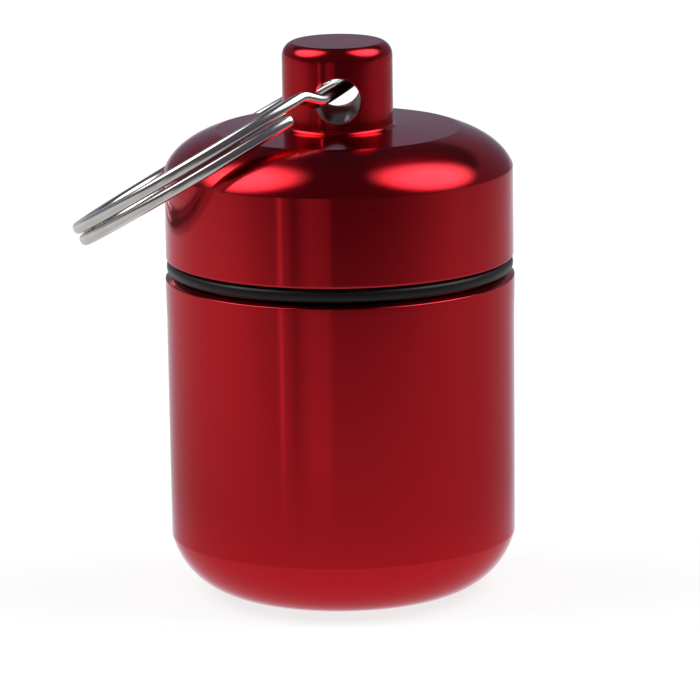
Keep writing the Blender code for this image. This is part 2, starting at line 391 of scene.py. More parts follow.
@dataclass
class TurnedSkin(Skin):
    """Skin turned about Z from rows, which also carries how worn and how rough each place is."""

    columns: int = 192

    def __post_init__(self) -> None:
        """Add the layers that hold the wear and the roughness of the cut."""
        self.wear = self.shape.verts.layers.float.new(WEAR_ATTRIBUTE)
        self.cut = self.shape.verts.layers.float.new(CUT_ATTRIBUTE)

    def vertex(self, place: Sequence[float], wear: float, cut: float) -> BMVert:
        """Add one vertex.

        Args:
            place: Where it is.
            wear: How worn it is.
            cut: How rough its cut is.

        Returns:
            The vertex.
        """
        vertex = self.shape.verts.new(place)
        vertex[self.wear] = wear
        vertex[self.cut] = cut
        return vertex

    def ring(self, row: Row) -> list[BMVert]:
        """Add the vertices of one row.

        Args:
            row: The row; one on the axis gets a single vertex.

        Returns:
            Its vertices in order.
        """
        if row.radius == 0.0:
            return [self.vertex((0, 0, row.height), row.wear, row.cut)]
        vertices = []
        for column in range(self.columns):
            angle = FULL_TURN * column / self.columns
            radius = row.radius
            if row.thread:
                radius += row.thread * THREAD.rise(angle, row.height)
            place = (radius * math.cos(angle), radius * math.sin(angle), row.height)
            vertices.append(self.vertex(place, row.wear, row.cut))
        return vertices

    def span(self, rings: Sequence[Sequence[BMVert]]) -> None:
        """Span the spaces between rings that follow one another."""
        for first, second in zip(rings, rings[1:]):
            self.bridge(first, second)

    def turn(self, rows: Sequence[Row]) -> Self:
        """Turn rows, which are in order along the outline, and give the skin back."""
        self.span([self.ring(row) for row in rows])
        return self


# Finishes


@dataclass(frozen=True)
class Finish:
    """Material and surface of a piece."""

    def shader(self, tree: NodeTree) -> Node:
        """Add the nodes of the finish; each finish has its own."""
        raise NotImplementedError

    def material(self, name: str) -> Material:
        """Make the material.

        Args:
            name: Its name, for the piece that wears it.

        Returns:
            The material.
        """
        material, tree = fresh_material(name)
        add_node(tree, "OutputMaterial", {"Surface": self.shader(tree)})
        return material


@dataclass(frozen=True)
class AnodisedAluminium(Finish):
    """Aluminium turned from bar, polished, anodised and dyed red, then sealed.

    The metal shines through the dyed oxide, so every reflection is red. Fine turning lines draw
    it out along the axis, and the clear face of the oxide adds a thin white sheen that grows
    towards the outline. Bored and threaded places are duller and hold less dye.
    """

    dye: str = "#b20c1b"
    worn_dye: str = "#bf3540"
    raw_cut: str = "#8c5a60"
    edge_tint: str = "#e6a5b8"
    raw_edge: str = "#8c6c72"
    roughness: tuple[float, float] = (0.1, 0.2)
    cloud_roughness: float = 0.03
    scratch_roughness: float = 0.2
    cut_roughness: float = 0.5
    wear_strength: float = 0.5
    coat_weight: float = 0.85
    cut_coat_weight: float = 0.33
    coat_ior: float = 1.22
    coat_roughness: float = 0.12
    anisotropy: float = 0.85
    across_lines: float = 0.25
    line_width: float = 0.2 * MM
    line_depth: float = 0.0022 * MM
    cloud_width: float = 6 * MM
    scratch_spacing: float = 5 * MM
    scratch_width: float = 0.006
    scratch_depth: float = 0.35
    scratch_patch: float = 2.2 * MM
    scratch_limits: tuple[float, float] = (0.6, 0.68)

    def shader(self, tree: NodeTree) -> Node:
        """Add the nodes of the finish.

        Args:
            tree: Tree of the material.

        Returns:
            Its shader.
        """
        place = add_node(tree, "TexCoord").outputs["Object"]
        parts = add_node(tree, "SeparateXYZ", {0: place}).outputs
        flat = add_node(tree, "CombineXYZ", {"X": parts["X"], "Y": parts["Y"]})
        reach = add_node(tree, "VectorMath", {0: flat}, operation="LENGTH")
        turned = add_node(tree, "CombineXYZ", {"X": reach, "Z": parts["Z"]})
        # Feed marks of a finishing tool are 0.05 mm apart, too fine to show here, so they are
        # drawn four times as coarse.
        grain = {"Vector": turned, "Scale": 1 / self.line_width, "Detail": 3.0, "Roughness": 0.6}
        lines = add_node(tree, "TexNoise", grain)
        smears = {"Vector": place, "Scale": 1 / self.cloud_width, "Detail": 3.0}
        clouds = add_node(tree, "TexNoise", smears)
        scratches = self.scratches(tree, place)
        cut = add_node(tree, "Attribute", attribute_name=CUT_ATTRIBUTE).outputs["Fac"]
        edges = add_node(tree, "Attribute", attribute_name=WEAR_ATTRIBUTE).outputs["Fac"]

        fine = add_node(tree, "MapRange", Fade(*self.roughness).of(lines))
        spread = Fade(-self.cloud_roughness, self.cloud_roughness).of(clouds)
        patchy = add_node(tree, "MapRange", spread)
        polished = add_node(tree, "Math", {0: fine, 1: patchy}, operation="ADD")
        dulled = {0: scratches, 1: self.scratch_roughness, 2: polished}
        scuffed = add_node(tree, "Math", dulled, operation="MULTIPLY_ADD")
        rough = add_node(tree, "Mix", {"Factor": cut, "A": scuffed, "B": self.cut_roughness})

        pale = {0: edges, 1: self.wear_strength, 2: scratches}
        worn = add_node(tree, "Math", pale, operation="MULTIPLY_ADD", use_clamp=True)
        dyes = {"Factor": worn, "A": self.dye, "B": self.worn_dye}
        dyed = add_node(tree, "Mix", dyes, data_type="RGBA")
        colours = {"Factor": cut, "A": dyed, "B": self.raw_cut}
        tints = {"Factor": cut, "A": self.edge_tint, "B": self.raw_edge}
        relief = add_node(tree, "Math", {0: lines, 1: scratches}, operation="SUBTRACT")
        bump = {"Strength": 1.0, "Distance": self.line_depth, "Height": relief}
        coat = Fade(self.coat_weight, self.cut_coat_weight).of(cut)
        return add_node(
            tree,
            "BsdfPrincipled",
            {
                "Base Color": add_node(tree, "Mix", colours, data_type="RGBA"),
                "Metallic": 1.0,
                "Specular Tint": add_node(tree, "Mix", tints, data_type="RGBA"),
                "Roughness": rough,
                "Normal": add_node(tree, "Bump", bump),
                "Anisotropic": self.anisotropy,
                "Anisotropic Rotation": self.across_lines,
                "Tangent": add_node(tree, "Tangent", direction_type="RADIAL", axis="Z"),
                "Coat Weight": add_node(tree, "MapRange", coat),
                "Coat Roughness": self.coat_roughness,
                "Coat IOR": self.coat_ior,
            },
        )

    def scratches(self, tree: NodeTree, place: NodeSocket) -> Node:
        """Draw a few short, straight handling scratches.

        Args:
            tree: Tree of the material.
            place: Object coordinates.

        Returns:
            Node that is above zero in a scratch.
        """
        mesh = {"Vector": place, "Scale": 1 / self.scratch_spacing}
        cells = add_node(tree, "TexVoronoi", mesh, feature="DISTANCE_TO_EDGE")
        patches = {"Vector": place, "Scale": 1 / self.scratch_patch, "Detail": 1.0}
        spread = add_node(tree, "TexNoise", patches)
        line = Fade(self.scratch_depth, 0.0, 0.0, self.scratch_width).of(cells)
        few = Fade(0.0, 1.0, *self.scratch_limits).of(spread)
        both = {0: add_node(tree, "MapRange", line), 1: add_node(tree, "MapRange", few)}
        return add_node(tree, "Math", both, operation="MULTIPLY")


@dataclass(frozen=True)
class MouldedRubber(Finish):
    """Black nitrile rubber, moulded as a cord: nearly black, with a wide soft sheen."""

    black: str = "#0d0c0d"
    dusty: str = "#171516"
    roughness: tuple[float, float] = (0.28, 0.44)
    shine: float = 0.25
    grain: float = 0.25 * MM
    grain_depth: float = 0.004 * MM
    grain_strength: float = 0.6
    dust_width: float = 3 * MM

    def shader(self, tree: NodeTree) -> Node:
        """Add the nodes of the finish.

        Args:
            tree: Tree of the material.

        Returns:
            Its shader.
        """
        place = add_node(tree, "TexCoord").outputs["Object"]
        # The mould's grain is 0.05 mm wide, too fine to show here, so it is drawn five times as
        # coarse.
        skin = add_node(tree, "TexNoise", {"Vector": place, "Scale": 1 / self.grain, "Detail": 4.0})
        smears = {"Vector": place, "Scale": 1 / self.dust_width, "Detail": 2.0}
        dust = add_node(tree, "TexNoise", smears)
        colours = {"Factor": dust, "A": self.black, "B": self.dusty}
        bump = {"Strength": self.grain_strength, "Distance": self.grain_depth, "Height": skin}
        return add_node(
            tree,
            "BsdfPrincipled",
            {
                "Base Color": add_node(tree, "Mix", colours, data_type="RGBA"),
                "Specular IOR Level": self.shine,
                "Roughness": add_node(tree, "MapRange", Fade(*self.roughness).of(skin)),
                "Normal": add_node(tree, "Bump", bump),
            },
        )


@dataclass(frozen=True)
class NickelPlatedSteel(Finish):
    """Spring steel wire, drawn and rolled, then barrel plated in bright nickel.

    The plate is a warm mirror with faint lines drawn along the wire.
    """

    plate: str = "#dcd9d6"
    tarnish: str = "#c3beb9"
    roughness: tuple[float, float] = (0.12, 0.23)
    line_width: float = 0.12 * MM
    line_length: float = 4 * MM
    line_depth: float = 0.001 * MM
    line_strength: float = 0.7
    cloud_width: float = 2 * MM

    def shader(self, tree: NodeTree) -> Node:
        """Add the nodes of the finish.

        Args:
            tree: Tree of the material.

        Returns:
            Its shader.
        """
        lay = add_node(tree, "UVMap", uv_map=WIRE_LAY)
        # Lines of a drawing die are 0.02 mm wide, too fine to show here, so they are drawn six
        # times as coarse.
        stretch = (1 / self.line_length, 1 / self.line_width, 1.0)
        drawn = add_node(tree, "Mapping", {"Vector": lay, "Scale": stretch})
        marks = {"Vector": drawn, "Scale": 1.0, "Detail": 3.0}
        lines = add_node(tree, "TexNoise", marks, noise_dimensions="2D")
        place = add_node(tree, "TexCoord").outputs["Object"]
        smears = {"Vector": place, "Scale": 1 / self.cloud_width, "Detail": 3.0}
        clouds = add_node(tree, "TexNoise", smears)
        colours = {"Factor": clouds, "A": self.plate, "B": self.tarnish}
        bump = {"Strength": self.line_strength, "Distance": self.line_depth, "Height": lines}
        return add_node(
            tree,
            "BsdfPrincipled",
            {
                "Base Color": add_node(tree, "Mix", colours, data_type="RGBA"),
                "Metallic": 1.0,
                "Roughness": add_node(tree, "MapRange", Fade(*self.roughness).of(lines)),
                "Normal": add_node(tree, "Bump", bump),
            },
        )


# Pieces


class Part:
    """Sub-assembly that is one mesh with one finish."""

    name: ClassVar[str]
    material_name: ClassVar[str]
    body: ClassVar[Body]
    node: ClassVar[str]
    slot: ClassVar[Slot]

    def skin(self) -> Skin:
        """Build the mesh; each part has its own way."""
        raise NotImplementedError

    def build(self, finish: Finish) -> None:
        """Build the piece, dress it, hang it on its body's empty and hide the imported part it
        replaces.

        Args:
            finish: Finish of the whole piece.
        """
        mesh = self.skin().finish(self.name)
        piece = new_piece(self.name, mesh, finish.material(self.material_name))
        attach(piece, self.body.value)
        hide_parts(self.node)
        LOG.info("%s: rides on %s, %d faces", piece.name, self.body.value, len(mesh.polygons))


@dataclass
class Canister(Part):
    """Turned canister: pill space, threaded neck, beaded lip, wall and rounded base."""

    name = "canister_shell"
    material_name = "canister_red_anodising"
    body = Body.CANISTER
    node = "canister"
    slot = Slot.RED_ALUMINIUM

    lip_radius: float = 13.31 * MM
    height: float = 24.7 * MM
    lip_chamfer: float = 0.3 * MM
    lip_width: float = 0.5 * MM
    bead_height: float = 0.6 * MM
    bead_fade: float = 3.5 * MM
    base: Shoulder = Shoulder(13.17 * MM, 7.7 * MM, 4.44 * MM, math.radians(14.7))
    floor_height: float = 1.8 * MM
    floor_round: float = 1.5 * MM
    bore_radius: float = 10.4 * MM
    seal_seat_radius: float = 11.5 * MM
    seal_seat_chamfer: float = 0.25 * MM
    neck_top: float = 30.7 * MM
    neck_chamfer: float = 0.3 * MM
    thread_bottom: float = 26.2 * MM
    thread_top: float = 30.25 * MM
    thread_root_radius: float = 11.25 * MM
    foot_width: float = 0.9 * MM
    foot_slope: float = 0.2 * MM
    foot_recess: float = 0.15 * MM

    def inside(self) -> list[Corner]:
        """Lay out the pill space and the neck's rim, from the inner floor to the thread's top."""
        root = self.thread_root_radius
        return [
            Corner(0, self.floor_height, cut=BORED),
            Corner(self.bore_radius, self.floor_height, self.floor_round, 0.0, BORED),
            Corner(self.bore_radius, self.neck_top, 0.2 * MM, cut=FACED),
            Corner(root - self.neck_chamfer, self.neck_top, 0.08 * MM),
            Corner(root, self.neck_top - self.neck_chamfer, 0.06 * MM),
            Corner(root, self.thread_top),
        ]

    def outside(self) -> list[Corner]:
        """Lay out the seal's seat, the lip, the wall and the base.

        Returns:
            Corners from the thread's bottom down to the middle of the foot.
        """
        seat_top = self.thread_bottom - self.seal_seat_chamfer
        bead_top = self.height - self.lip_chamfer
        seat = [
            Corner(self.thread_root_radius, self.thread_bottom),
            Corner(self.seal_seat_radius, seat_top, 0.05 * MM, 0.3),
            Corner(self.seal_seat_radius, self.height, 0.12 * MM, 0.0),
            Corner(self.lip_radius - self.lip_width, self.height, 0.05 * MM, 0.0),
            Corner(self.lip_radius, bead_top, 0.06 * MM),
            Corner(self.lip_radius, bead_top - self.bead_height, 0.0),
            Corner(BODY_RADIUS, self.height - self.bead_fade, 0.0),
        ]
        foot = [Corner(x, self.base.rise - y) for x, y in reversed(self.base.points())]
        foot[0] = Corner(foot[0].radius, foot[0].height, 0.12 * MM, 0.35)
        flat = self.base.flat_radius
        under = [
            Corner(flat, 0),
            Corner(flat - self.foot_width, 0, 0.1 * MM),
            Corner(flat - self.foot_width - self.foot_slope, self.foot_recess, 0.1 * MM, 0.0),
            Corner(0, self.foot_recess),
        ]
        return seat + foot[:-1] + under

    def skin(self) -> Skin:
        """Turn the canister.

        Returns:
            The mesh.
        """
        thread = THREAD.rows(self.thread_root_radius, self.thread_bottom, self.thread_top)
        upper, lower = rounded_rows(self.inside()), rounded_rows(self.outside())
        return TurnedSkin().turn(upper[:-1] + list(reversed(thread)) + lower[1:])


@dataclass
class CrossBore:
    """Cross bore through the knob along Y, with its rims broken by a small round."""

    radius: float
    height: float
    knob_radius: float
    rim_round: float = 0.09 * MM
    side_rows: int = 20
    spread_rows: int = 9
    crowding: float = 1.5
    rim_steps: int = 4
    wall_rows: int = 10

    def on_knob(self, across: float, height: float) -> Vector:
        """Place on the front of the knob, from its arc length off the middle and its height."""
        radius, angle = self.knob_radius, across / self.knob_radius
        return Vector((radius * math.sin(angle), -radius * math.cos(angle), height))

    def rim_place(self, turn: float, radius: float) -> Vector:
        """Point of the knob's front that lies at a radius from the bore's axis, at one turn."""
        across, upwards = radius * math.cos(turn), radius * math.sin(turn)
        return Vector((across, -math.sqrt(self.knob_radius**2 - across**2), self.height + upwards))

    def border(self, columns: int, bottom: float, top: float) -> list[Point]:
        """Walk round the front half of the knob's wall.

        Args:
            columns: Columns of the turned mesh over half a turn.
            bottom: Height of the wall's lower end.
            top: Height of its upper end.

        Returns:
            Arc length and height of each point, anticlockwise from the lower left.
        """
        half = math.pi * self.knob_radius / 2
        step = 2 * half / columns
        rise = (top - bottom) / self.side_rows
        below = [(-half + step * index, bottom) for index in range(columns)]
        right = [(half, bottom + rise * index) for index in range(self.side_rows)]
        above = [(half - step * index, top) for index in range(columns)]
        left = [(-half, top - rise * index) for index in range(self.side_rows)]
        return below + right + above + left

    def front(self, border: Sequence[Point]) -> list[list[Vector]]:
        """Lay out the front half, from its border in to the bore's rim and over the rim's round.

        Args:
            border: Arc length and height of the points of its border.

        Returns:
            Rings of places, each with a place for each point of the border.
        """
        turns = [math.atan2(height - self.height, across) for across, height in border]
        rims = [self.rim_place(turn, self.radius + self.rim_round) for turn in turns]
        corners = [self.rim_place(turn, self.radius) for turn in turns]
        rings = []
        for row in range(self.spread_rows + 1):
            share = (1 - row / self.spread_rows) ** self.crowding
            places = []
            for rim, (across, height) in zip(rims, border):
                rim_across = self.knob_radius * math.asin(rim.x / self.knob_radius)
                off_rim = (across - rim_across) * share
                places.append(self.on_knob(rim_across + off_rim, rim.z + (height - rim.z) * share))
            rings.append(places)
        for step in range(1, self.rim_steps + 1):
            share = step / self.rim_steps
            places = []
            for rim, corner in zip(rims, corners):
                inner = corner.lerp(corner + Vector((0, self.rim_round, 0)), share)
                places.append(rim.lerp(corner, share).lerp(inner, share))
            rings.append(places)
        return rings

    def cut(self, skin: TurnedSkin, bottom: float, top: float) -> None:
        """Build the knob's wall round the bore, the bore's rims and its inner wall.

        Args:
            skin: Mesh that takes them.
            bottom: Height of the wall's lower end.
            top: Height of its upper end.
        """
        fronts = self.front(self.border(skin.columns // 2, bottom, top))
        rim_wears = [edge_wear(step / self.rim_steps) for step in range(1, self.rim_steps + 1)]
        wears = [0.0] * (self.spread_rows + 1) + rim_wears
        cuts = [0.0] * (self.spread_rows + self.rim_steps) + [DRILLED]
        unchanged, mirrored = Vector((1, 1, 1)), Vector((1, -1, 1))
        front_rings, back_rings = (
            [
                [skin.vertex(place * side, wear, cut) for place in places]
                for places, wear, cut in zip(fronts, wears, cuts)
            ]
            for side in (unchanged, mirrored)
        )
        shares = [row / self.wall_rows for row in range(1, self.wall_rows)]
        wall_rings = [
            [skin.vertex(place.lerp(place * mirrored, share), 0.0, DRILLED) for place in fronts[-1]]
            for share in shares
        ]
        skin.span(front_rings + wall_rings + list(reversed(back_rings)))


@dataclass
class Cap(Part):
    """Turned screw cap: skirt, domed shoulder, level ledge and cross-drilled knob."""

    name = "cap_shell"
    material_name = "cap_red_anodising"
    body = Body.CAP
    node = "cap"
    slot = Slot.RED_ALUMINIUM

    edge_height: float = 25.91 * MM
    crease_height: float = 32.77 * MM
    shoulder: Shoulder = Shoulder(
        BODY_RADIUS, 6.76 * MM, 3.42 * MM, math.radians(12), math.radians(82.8)
    )
    least_step: float = 0.2 * MM
    ledge_radius: float = 9.3 * MM
    ledge_height: float = 35.92 * MM
    knob_radius: float = 4.2 * MM
    knob_top: float = 42.4 * MM
    crown: Shoulder = Shoulder(knob_radius, 3.45 * MM, 1.05 * MM, 0, math.radians(74), 14)
    foot_fillet: float = 0.3 * MM
    foot_blend: float = 0.35 * MM
    foot_steps: int = 6
    entry_radius: float = 12.0 * MM
    thread_chamfer: float = 0.2 * MM
    thread_crest_radius: float = 11.45 * MM
    thread_bottom: float = 26.5 * MM
    thread_top: float = 30.95 * MM
    ceiling_height: float = 31.81 * MM
    bore_radius: float = 1.7303 * MM

    def skin(self) -> Skin:
        """Turn the knob's top, drill the knob and turn the rest.

        Returns:
            The mesh.
        """
        skin = TurnedSkin()
        wall_top = self.knob_top - self.crown.rise
        corners = [Corner(x, wall_top + y) for x, y in self.crown.points()]
        corners[0] = Corner(corners[0].radius, self.knob_top, 0.1 * MM, 0.5)
        skin.turn(rounded_rows([Corner(0, self.knob_top), *corners]))
        bore = CrossBore(self.bore_radius, BORE_HEIGHT, self.knob_radius)
        bore.cut(skin, self.ledge_height + self.foot_fillet + HOLD, wall_top)
        thread = THREAD.rows(
            self.thread_crest_radius, self.thread_bottom, self.thread_top, countersunk=True
        )
        lower, ceiling = rounded_rows(self.outside()), rounded_rows(self.ceiling())
        return skin.turn(lower[:-1] + thread + ceiling[1:])

    def dome(self) -> list[Point]:
        """Trace the rounded shoulder, from the ledge's edge down to the crease.

        Returns:
            Radius and height of each point; the first is the ledge's edge.
        """
        points = [(x, self.crease_height + y) for x, y in self.shoulder.points()]
        first = next(index for index, (x, _) in enumerate(points) if x > self.ledge_radius)
        inner, outer = Vector(points[first - 1]), Vector(points[first])
        edge = inner.lerp(outer, (self.ledge_radius - inner.x) / (outer.x - inner.x))
        if outer.x - self.ledge_radius < self.least_step:
            first += 1
        return [(edge.x, edge.y)] + points[first:]

    def outside(self) -> list[Corner]:
        """Lay out the foot of the knob, the ledge, the dome, the skirt and the entry.

        Returns:
            Corners from the knob's wall out and down to the thread's bottom.
        """
        foot_centre = (self.knob_radius + self.foot_fillet, self.ledge_height + self.foot_fillet)
        foot_round = (self.foot_fillet, self.foot_fillet)
        foot = ellipse_arc(foot_centre, foot_round, math.pi, 3 * QUARTER_TURN, self.foot_steps)
        dome = self.dome()
        ledge_fall = self.ledge_height - dome[0][1]
        blend_share = self.foot_blend / (self.ledge_radius - foot_centre[0])
        blend_height = self.ledge_height - ledge_fall * blend_share
        entry_top = self.thread_bottom - self.thread_chamfer
        return [
            Corner(self.knob_radius, foot_centre[1] + HOLD),
            *(Corner(x, y) for x, y in foot),
            Corner(foot_centre[0] + self.foot_blend, blend_height),
            Corner(*dome[0], 0.12 * MM, 0.3),
            *(Corner(x, y) for x, y in dome[1:-1]),
            Corner(BODY_RADIUS, self.crease_height, 0.14 * MM, 0.8),
            Corner(BODY_RADIUS, self.edge_height, 0.18 * MM, 0.8),
            Corner(self.entry_radius, self.edge_height, 0.15 * MM, cut=FACED),
            Corner(self.entry_radius, entry_top, 0.05 * MM, 0.0, THREADED),
            Corner(self.thread_crest_radius + THREAD.depth, self.thread_bottom, cut=THREADED),
        ]

    def ceiling(self) -> list[Corner]:
        """Lay out the relief over the thread and the ceiling, from the thread's top inwards."""
        relief_height = self.thread_top + self.thread_chamfer
        return [
            Corner(self.thread_crest_radius, self.thread_top, cut=THREADED),
            Corner(self.entry_radius, relief_height, 0.05 * MM, 0.0, THREADED),
            Corner(self.entry_radius, self.ceiling_height, 0.25 * MM, 0.0, BORED),
            Corner(0, self.ceiling_height, cut=BORED),
        ]


@dataclass
class SealingRing(Part):
    """Round rubber cord squeezed between the canister's shoulder and the cap."""

    name = "sealing_ring"
    material_name = "seal_black_rubber"
    body = Body.SEAL
    node = "o_ring"
    slot = Slot.BLACK_RUBBER

    inner_radius: float = 11.62 * MM
    outer_radius: float = 13.2 * MM
    bottom: float = 24.72 * MM
    top: float = 25.89 * MM
    squareness: float = 2.5
    steps: int = 40

    def rows(self) -> list[Row]:
        """Lay out the squeezed section.

        Returns:
            Rows once round the section, the first repeated at the end.
        """
        middle = ((self.inner_radius + self.outer_radius) / 2, (self.bottom + self.top) / 2)
        half = ((self.outer_radius - self.inner_radius) / 2, (self.top - self.bottom) / 2)
        rows = []
        for step in range(self.steps + 1):
            angle = FULL_TURN * (step % self.steps) / self.steps
            x, y = (
                math.copysign(abs(part) ** (2 / self.squareness), part)
                for part in (math.cos(angle), math.sin(angle))
            )
            rows.append(Row(middle[0] + half[0] * x, middle[1] + half[1] * y))
        return rows

    def skin(self) -> Skin:
        """Turn the section round the axis."""
        return TurnedSkin().turn(self.rows())


@dataclass
class SplitRing(Part):
    """Flattened wire wound twice round, cranked between its layers, through the cross bore."""

    name = "wound_split_ring"
    material_name = "ring_bright_nickel"
    body = Body.RING
    node = "split_ring"
    slot = Slot.NICKEL_STEEL

    outer_radius: float = 12.25 * MM
    wire_width: float = 1.3 * MM
    wire_height: float = 0.9 * MM
    wire_round: float = 0.38 * MM
    layer_gap: float = 0.12 * MM
    front_end: float = math.radians(-52.3)
    back_end: float = math.radians(34)
    crank_start: float = math.radians(-43.5)
    crank_end: float = math.radians(-33.2)
    crank_round_share: float = 0.3
    bore_offset: Point = (10.6365 * MM, -0.4383 * MM)
    shift: float = 1.96 * MM
    tilt: float = math.radians(7.2)
    slope: float = math.radians(30.2306)
    step_angle: float = math.radians(1.5)
    section_steps: int = 5
    end_round: float = 0.16 * MM
    end_rows: int = 4

    def level(self, angle: float) -> float:
        """Height of the wire along the crank, one at its start and minus one at its end.

        Args:
            angle: Angle in the ring's own plane, with the bore side at zero.

        Returns:
            The height, as a share of half the distance between the layers.
        """
        share = (angle - self.crank_start) / (self.crank_end - self.crank_start)
        share = min(max(share, 0), 1)
        rounded = self.crank_round_share
        if share < rounded:
            fall = share**2 / (2 * rounded)
        elif share > 1 - rounded:
            fall = 1 - rounded - (1 - share) ** 2 / (2 * rounded)
        else:
            fall = share - rounded / 2
        return 1 - 2 * fall / (1 - rounded)

    def path(self) -> list[Vector]:
        """Trace the centre line.

        Returns:
            Points from the back end, over the upper layer, the crank and the lower layer.
        """
        middle = self.outer_radius - self.wire_width / 2
        half_pitch = (self.wire_height + self.layer_gap) / 2
        start = self.back_end - FULL_TURN
        end = self.front_end + FULL_TURN
        count = round((end - start) / self.step_angle)
        points = []
        for index in range(count + 1):
            angle = start + (end - start) * index / count
            height = half_pitch * self.level(angle)
            points.append(Vector((middle * math.cos(angle), middle * math.sin(angle), height)))
        return points

    def section(self, inset: float) -> list[Point]:
        """Outline of the wire, a flat strip with well rounded corners.

        Args:
            inset: How far the outline is drawn in, near a rounded end.

        Returns:
            Points of the closed outline, as distances outwards and upwards.
        """
        across = self.wire_width / 2 - self.wire_round
        upwards = self.wire_height / 2 - self.wire_round
        radii = (self.wire_round - inset, self.wire_round - inset)
        centres = [(across, upwards), (across, -upwards), (-across, -upwards), (-across, upwards)]
        points: list[Point] = []
        for quarter, centre in enumerate(centres):
            start = QUARTER_TURN * (1 - quarter)
            points += ellipse_arc(centre, radii, start, start - QUARTER_TURN, self.section_steps)
        return points

    def stations(self, lengths: Sequence[float]) -> list[Point]:
        """List where sections stand along the wire, and how far each is drawn in.

        Args:
            lengths: Length along the wire at each point of the path.

        Returns:
            Distance along the wire and inset of each section.
        """
        total = lengths[-1]
        turns = [QUARTER_TURN * row / self.end_rows for row in range(self.end_rows)]
        near = [
            (self.end_round * (1 - math.cos(turn)), self.end_round * (1 - math.sin(turn)))
            for turn in turns
        ]
        middle = [(x, 0.0) for x in lengths if self.end_round <= x <= total - self.end_round]
        far = [(total - distance, inset) for distance, inset in reversed(near)]
        return near + middle + far

    def station(
        self, points: Sequence[Vector], lengths: Sequence[float], along: float
    ) -> tuple[Vector, Vector]:
        """Find the centre line's point and direction at a distance along it.

        Args:
            points: Points of the centre line.
            lengths: Length along the wire at each point.
            along: The distance.

        Returns:
            The point and the direction there.
        """
        index = 0
        while index < len(points) - 2 and lengths[index + 1] < along:
            index += 1
        share = (along - lengths[index]) / (lengths[index + 1] - lengths[index])
        before = points[max(index - 1, 0)]
        after = points[min(index + 2, len(points) - 1)]
        first = (points[index + 1] - before).normalized()
        second = (after - points[index]).normalized()
        centre = points[index].lerp(points[index + 1], share)
        return centre, first.lerp(second, share).normalized()

    def place(self) -> Matrix:
        """Lie of the ring in the frame.

        Returns:
            Matrix from the ring's own plane to the frame.
        """
        swing = Euler((0, -self.slope, 0)).to_matrix()
        own = Vector((-self.bore_offset[0], self.shift, -self.bore_offset[1]))
        location = swing @ own + Vector((0, 0, BORE_HEIGHT))
        rotation = Euler((-self.tilt, -self.slope, 0)).to_matrix().to_4x4()
        return Matrix.Translation(location) @ rotation

    def skin(self) -> Skin:
        """Wind the wire and lay its surface out along it, for the lines of the plating.

        Returns:
            The mesh.
        """
        skin = Skin()
        points = self.path()
        steps = [(second - first).length for first, second in zip(points, points[1:])]
        lengths = list(accumulate(steps, initial=0.0))
        matrix = self.place()
        stations = self.stations(lengths)
        rings = []
        for along, inset in stations:
            centre, tangent = self.station(points, lengths, along)
            outward = Vector((centre.x, centre.y, 0)).normalized()
            upward = outward.cross(tangent).normalized()
            if upward.z < 0:
                upward = -upward
            outward = (outward - tangent * outward.dot(tangent)).normalized()
            section = [matrix @ (centre + outward * x + upward * y) for x, y in self.section(inset)]
            rings.append([skin.shape.verts.new(place) for place in section])
        lay = skin.shape.loops.layers.uv.new(WIRE_LAY)
        pitch = (2 * self.wire_width + math.pi * self.wire_height) / len(rings[0])
        for row, (first, second) in enumerate(zip(rings, rings[1:])):
            along, onward = stations[row][0], stations[row + 1][0]
            for index, face in enumerate(skin.bridge(first, second)):
                low, high = index * pitch, (index + 1) * pitch
                marks = [(along, low), (along, high), (onward, high), (onward, low)]
                for loop, mark in zip(face.loops, marks):
                    loop[lay].uv = mark
        for ring in (rings[0], rings[-1]):
            skin.shape.faces.new(ring)
        return skin


# Studio


@dataclass(frozen=True)
class Softbox:
    """Softbox that leans over the piece from one side, and fades from its middle to its rim.

    The bearing is in degrees from the front, to the right.
    """

    bearing: float
    elevation: float = math.radians(51)
    distance: float = 0.8
    outer_reach: float = math.radians(31)
    inner_reach: float = math.radians(10)
    radiance: float = 5.5

    def build(self) -> None:
        """Build the lamp and link it to the scene."""
        lamp = bpy.data.lights.new(f"softbox_{self.bearing:+.0f}", "AREA")
        lamp.shape = "SQUARE"
        lamp.size = 2 * (self.distance * math.tan(self.outer_reach))
        lamp.energy = math.pi * lamp.size**2
        self.fade(lamp)
        bearing = math.radians(self.bearing)
        level = math.cos(self.elevation)
        away = Vector(
            (level * math.sin(bearing), -level * math.cos(bearing), math.sin(self.elevation))
        )
        facing = away.to_track_quat("Z", "Y").to_matrix().to_4x4()
        piece = bpy.data.objects.new(lamp.name, lamp)
        piece.matrix_world = Matrix.Translation(away * self.distance) @ facing
        bpy.context.scene.collection.objects.link(piece)

    def fade(self, lamp: Light) -> None:
        """Let the cloth of the lamp fade from its middle to its rim.

        Args:
            lamp: The lamp.
        """
        lamp.use_nodes = True
        tree = lamp.node_tree
        tree.nodes.clear()
        across = add_node(tree, "NewGeometry").outputs["Parametric"]
        middle = {0: across, 1: (0.5, 0.5, 0.0)}
        off_middle = add_node(tree, "VectorMath", middle, operation="SUBTRACT")
        reach = add_node(tree, "VectorMath", {0: off_middle}, operation="LENGTH")
        middle_share = math.tan(self.inner_reach) / math.tan(self.outer_reach) / 2
        falling = Fade(self.radiance, 0.0, middle_share, 0.5).of(reach)
        strength = add_node(tree, "MapRange", falling, **SMOOTH)
        cloth = add_node(tree, "Emission", {"Strength": strength})
        add_node(tree, "OutputLight", {"Surface": cloth})


